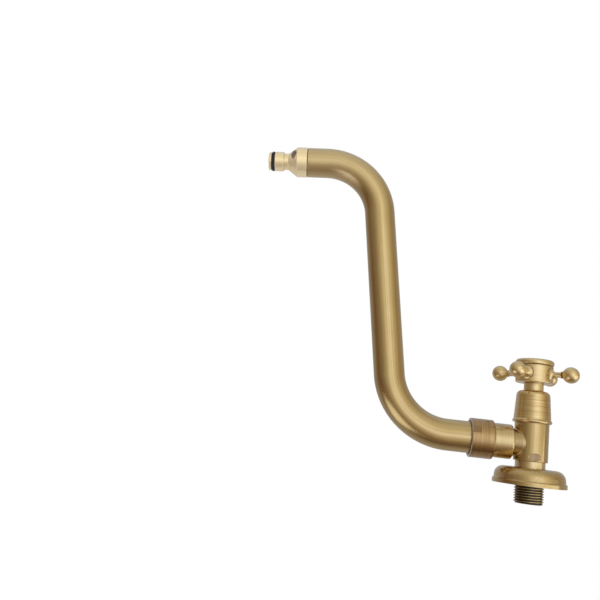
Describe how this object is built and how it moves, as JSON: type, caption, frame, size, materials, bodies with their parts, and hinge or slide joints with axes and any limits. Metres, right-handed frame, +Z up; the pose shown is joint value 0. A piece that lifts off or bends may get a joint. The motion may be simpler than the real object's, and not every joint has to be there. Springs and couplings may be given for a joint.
{
  "type": "wall-mounted cold water tap",
  "caption": "Wall-mounted brushed brass cold water tap with a cross handle, an S-shaped swivel spout ending in a hose nozzle, and a domed wall rosette.",
  "frame": {"origin": "where the axis of the inlet thread meets the face of the wall", "axes": "+Z up, +Y along the inlet thread into the wall; the tap stands out from the wall along -Y and the outlet points down"},
  "size_m": [0.0538, 0.2561, 0.244],
  "materials": {
    "brushed_brass": "antique brass, brushed along the tube and round the turned pieces",
    "polished_brass": "polished pale brass",
    "plain_brass": "machined brass, bare",
    "rubber": "black nitrile rubber",
    "fibre": "off-white low-friction plastic",
    "ceramic": "lapped white ceramic",
    "stainless": "stainless steel, plain"
  },
  "bodies": {
    "root": {"tap_body": "brushed_brass", "bonnet_cover": "brushed_brass", "union_nut": "brushed_brass", "cartridge_body": "plain_brass", "cartridge_body_seal": "rubber", "seat_seal": "rubber", "fixed_ceramic_disc": "ceramic", "spindle_slip_washer": "fibre", "outlet_slip_washer": "fibre", "nut_slip_ring": "fibre"},
    "handle": {"handle_hub": "brushed_brass", "handle_arm_1": "brushed_brass", "handle_arm_2": "brushed_brass", "handle_arm_3": "brushed_brass", "handle_arm_4": "brushed_brass", "index_cap": "brushed_brass", "handle_screw": "stainless", "spindle": "plain_brass", "spindle_o_rings": "rubber", "spindle_clip": "stainless", "moving_ceramic_disc": "ceramic"},
    "spout": {"spout_tube": "brushed_brass", "spout_end_sleeve": "plain_brass", "spout_o_rings": "rubber", "nozzle_bush": "plain_brass", "nozzle_washer": "rubber", "hose_nozzle": "polished_brass", "nozzle_o_ring": "rubber"},
    "rosette": {"wall_rosette": "brushed_brass"}
  },
  "joints": [
    {"name": "handle_turn", "type": "hinge", "parent": "root", "child": "handle", "pos_m": [0, -0.08, 0], "axis": [0, -1, 0], "range_deg": [0, 90]},
    {"name": "spout_swivel", "type": "hinge", "parent": "root", "child": "spout", "pos_m": [0, -0.0292, -0.04], "axis": [0, 0, 1], "range_deg": [-90, 90]},
    {"name": "rosette_slide", "type": "slide", "parent": "root", "child": "rosette", "axis": [0, 1, 0], "range_m": [-0.0043, 0.022]}
  ]
}
